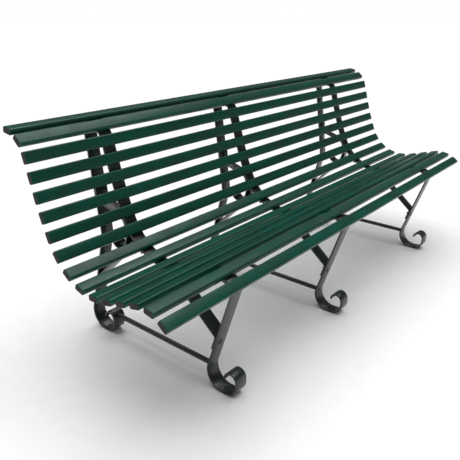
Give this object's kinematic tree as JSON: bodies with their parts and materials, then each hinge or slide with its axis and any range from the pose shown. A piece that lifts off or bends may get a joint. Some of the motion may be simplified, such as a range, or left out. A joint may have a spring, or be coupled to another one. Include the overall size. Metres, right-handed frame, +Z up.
{
  "type": "garden bench",
  "caption": "Long garden bench: rounded wooden slats form a rolled seat and back, bolted to bent flat-iron supports with scrolled feet, braces and stretchers.",
  "frame": {"origin": "centre of the bench's bounding box, at ground level under the feet", "axes": "+Z up, +X along the bench to the sitter's left, -Y to the front where the sitter's legs hang, +Y to the back"},
  "size_m": [2.12, 0.7166, 0.8266],
  "materials": {
    "lacquered_slats": "gloss dark green lacquer over planed wood",
    "painted_irons": "satin near-black green paint",
    "painted_bolts": "satin near-black green paint, slightly worn"
  },
  "bodies": {
    "root": {"back_slat_1": "lacquered_slats", "back_slat_2": "lacquered_slats", "back_slat_3": "lacquered_slats", "back_slat_4": "lacquered_slats", "back_slat_5": "lacquered_slats", "back_slat_6": "lacquered_slats", "back_slat_7": "lacquered_slats", "bend_slat_1": "lacquered_slats", "bend_slat_2": "lacquered_slats", "crest_slat": "lacquered_slats", "front_slat": "lacquered_slats", "left_crest_screw": "painted_bolts", "left_front_brace": "painted_irons", "left_front_brace_foot_bolt": "painted_bolts", "left_front_brace_top_screw": "painted_bolts", "left_front_leg": "painted_irons", "left_front_screw": "painted_bolts", "left_rear_brace": "painted_irons", "left_rear_brace_foot_bolt": "painted_bolts", "left_rear_brace_top_screw": "painted_bolts", "left_rear_leg": "painted_irons", "left_scroll_brace": "painted_irons", "left_scroll_stay_bolt": "painted_bolts", "left_seat_back_bar": "painted_irons", "left_stretcher": "painted_irons", "middle_crest_screw": "painted_bolts", "middle_front_brace": "painted_irons", "middle_front_brace_foot_bolt": "painted_bolts", "middle_front_brace_top_screw": "painted_bolts", "middle_front_leg": "painted_irons", "middle_front_screw": "painted_bolts", "middle_rear_brace": "painted_irons", "middle_rear_brace_foot_bolt": "painted_bolts", "middle_rear_brace_top_screw": "painted_bolts", "middle_rear_leg": "painted_irons", "middle_scroll_brace": "painted_irons", "middle_scroll_stay_bolt": "painted_bolts", "middle_seat_back_bar": "painted_irons", "middle_stretcher": "painted_irons", "right_crest_screw": "painted_bolts", "right_front_brace": "painted_irons", "right_front_brace_foot_bolt": "painted_bolts", "right_front_brace_top_screw": "painted_bolts", "right_front_leg": "painted_irons", "right_front_screw": "painted_bolts", "right_rear_brace": "painted_irons", "right_rear_brace_foot_bolt": "painted_bolts", "right_rear_brace_top_screw": "painted_bolts", "right_rear_leg": "painted_irons", "right_scroll_brace": "painted_irons", "right_scroll_stay_bolt": "painted_bolts", "right_seat_back_bar": "painted_irons", "right_stretcher": "painted_irons", "seat_slat_1": "lacquered_slats", "seat_slat_2": "lacquered_slats", "seat_slat_3": "lacquered_slats", "seat_slat_4": "lacquered_slats", "seat_slat_5": "lacquered_slats"}
  },
  "joints": []
}
